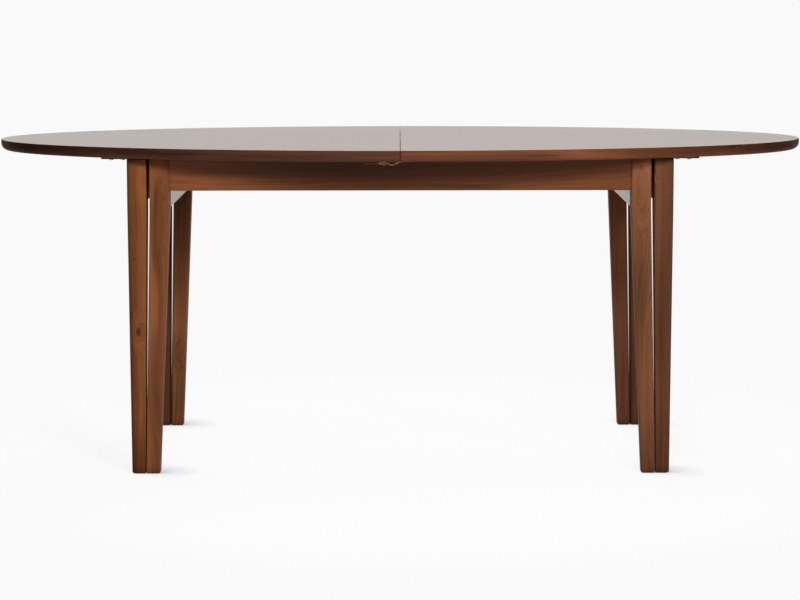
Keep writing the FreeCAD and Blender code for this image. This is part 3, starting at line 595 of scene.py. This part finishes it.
def dress_walnut():
    """Each walnut piece is cut from its own place in the log."""
    halves = ("inner", "outer")
    legs = ["%s_leg_%s_%s" % (half, face, end) for end in ENDS for face in FACES for half in halves]
    cuts = [(leg, "Z", LEG_CUT) for leg in legs]
    cuts += [(end + "_outer_rail", "Y", OUTER_RAIL_CUT) for end in ENDS]
    cuts += [(end + "_inner_rail", "Y", INNER_RAIL_CUT) for end in ENDS]
    cuts += [(face + "_apron", "X", APRON_CUT) for face in FACES]
    cuts += [(end + "_top", "X", TOP_CUT) for end in ENDS]
    cuts += [("spare_leaf", "Y", LEAF_CUT)]
    for seed, (name, axis, options) in enumerate(cuts, start=1):
        tone = PIECE_TONES.get(name, OTHER_TONE)
        figures_and_painted_light = PIECE_FIGURES_AND_PAINTED_LIGHT.get(name, ())
        dress(name, wood("walnut_" + name, WALNUT, axis, seed, tone, figures_and_painted_light, **options))


def dress_hidden_parts():
    """Beech slides, metal fittings and plastic glides, by each node's slot in the record."""
    beech = {
        axis: wood("beech_" + axis.lower(), BEECH, axis, BEECH_SEED, BEECH_TONE, shine=BEECH_SHINE)
        for axis in "XY"
    }
    finishes = {name: metal(name) for name in METALS}
    finishes.update({name: plastic(name) for name in PLASTICS})
    for part in frame["record"]["subparts"]:
        node, slot = part["node"], part["material_slot"]
        if slot in SLOT_FINISHES:
            dress(node, finishes[SLOT_FINISHES[slot]])
        elif slot == "beech":
            dress(node, beech["Y" if node.endswith(("bearer", "leaf_dowels")) else "X"])


def make_world():
    """White where it is seen, plain soft light elsewhere."""
    world = bpy.data.worlds.new("studio")
    tree = Tree(world)
    background = tree.nodes["Background"].inputs
    tree.put(background["Color"], WHITE)
    tree.put(background["Strength"], tree.span(tree.seen(), AMBIENT_STRENGTH, BACKDROP_WHITE))
    bpy.context.scene.world = world


def contact_shadow(tree):
    """1 on open floor, less close to the right of a foot."""
    node = tree.nodes.new("ShaderNodeAmbientOcclusion")
    tree.put(node.inputs["Distance"], CONTACT_REACH)
    tree.put(node.inputs["Normal"], tree.join(*CONTACT_SIDE))
    return tree.span(node.outputs["AO"], 1.0 - CONTACT_DEPTH, 1.0)


def make_floor():
    """Pale floor: white where it is seen, with the table's shadow on it near the table."""
    half = FLOOR_SIZE / 2
    corners = [(-half, -half, 0), (half, -half, 0), (half, half, 0), (-half, half, 0)]
    mesh = bpy.data.meshes.new("floor")
    mesh.from_pydata(corners, [], [(0, 1, 2, 3)])
    floor = bpy.data.objects.new("floor", mesh)
    bpy.context.scene.collection.objects.link(floor)
    tree = Tree(bpy.data.materials.new("floor"))
    tree.nodes.remove(tree.nodes["Principled BSDF"])
    away = tree.vector("LENGTH", tree.coordinates())
    near = tree.ramp(away, FLOOR_FAR_RADIUS, FLOOR_NEAR_RADIUS)
    matte = tree.nodes.new("ShaderNodeBsdfDiffuse")
    tree.put(matte.inputs["Color"], FLOOR_COLOUR)
    white = tree.nodes.new("ShaderNodeEmission")
    tree.put(white.inputs["Color"], WHITE)
    strength = tree.span(near, BACKDROP_WHITE, FLOOR_NEAR_WHITE)
    tree.put(white.inputs["Strength"], tree.times(contact_shadow(tree), strength))
    both = tree.nodes.new("ShaderNodeMixShader")
    share = tree.times(tree.seen(), tree.span(near, 1.0, 1.0 - FLOOR_SHADOW_SHARE))
    for socket, value in zip(both.inputs, (share, matte.outputs[0], white.outputs[0])):
        tree.put(socket, value)
    tree.put(tree.nodes["Material Output"].inputs["Surface"], both.outputs[0])
    mesh.materials.append(tree.owner)


def make_lamp(name, azimuth, elevation, distance, size, power):
    """Soft round lamp aimed at the table and not mirrored in it."""
    turn, rise = math.radians(azimuth), math.radians(elevation)
    level = math.cos(rise)
    way = Vector((math.sin(turn) * level, -math.cos(turn) * level, math.sin(rise)))
    data = bpy.data.lights.new(name, "AREA")
    data.shape = "DISK"
    data.size = size
    data.energy = power
    lamp = bpy.data.objects.new(name, data)
    lamp.visible_glossy = False
    aim = way.to_track_quat("Z", "Y").to_matrix().to_4x4()
    lamp.matrix_world = Matrix.Translation(LAMP_AIM + way * distance) @ aim
    bpy.context.scene.collection.objects.link(lamp)


def make_camera():
    """Camera of the photo, from its place, yaw, pitch and roll."""
    forward = Vector((
        math.sin(CAMERA_YAW) * math.cos(CAMERA_PITCH),
        math.cos(CAMERA_YAW) * math.cos(CAMERA_PITCH),
        -math.sin(CAMERA_PITCH),
    ))
    level = Vector((math.cos(CAMERA_YAW), -math.sin(CAMERA_YAW), 0.0))
    down = forward.cross(level)
    right = math.cos(CAMERA_ROLL) * level + math.sin(CAMERA_ROLL) * down
    up = math.sin(CAMERA_ROLL) * level - math.cos(CAMERA_ROLL) * down
    data = bpy.data.cameras.new("camera")
    data.sensor_width = SENSOR_WIDTH
    data.lens = FOCAL_PIXELS * SENSOR_WIDTH / IMAGE_WIDTH
    camera = bpy.data.objects.new("camera", data)
    turn = Matrix((right, up, -forward)).transposed().to_4x4()
    camera.matrix_world = Matrix.Translation(CAMERA_PLACE) @ turn
    bpy.context.scene.collection.objects.link(camera)
    bpy.context.scene.camera = camera


dress_walnut()
dress_hidden_parts()
make_world()
make_floor()
for lamp_name, lamp_values in LAMPS.items():
    make_lamp(lamp_name, *lamp_values)
make_camera()
bpy.context.scene.view_settings.view_transform = "Standard"
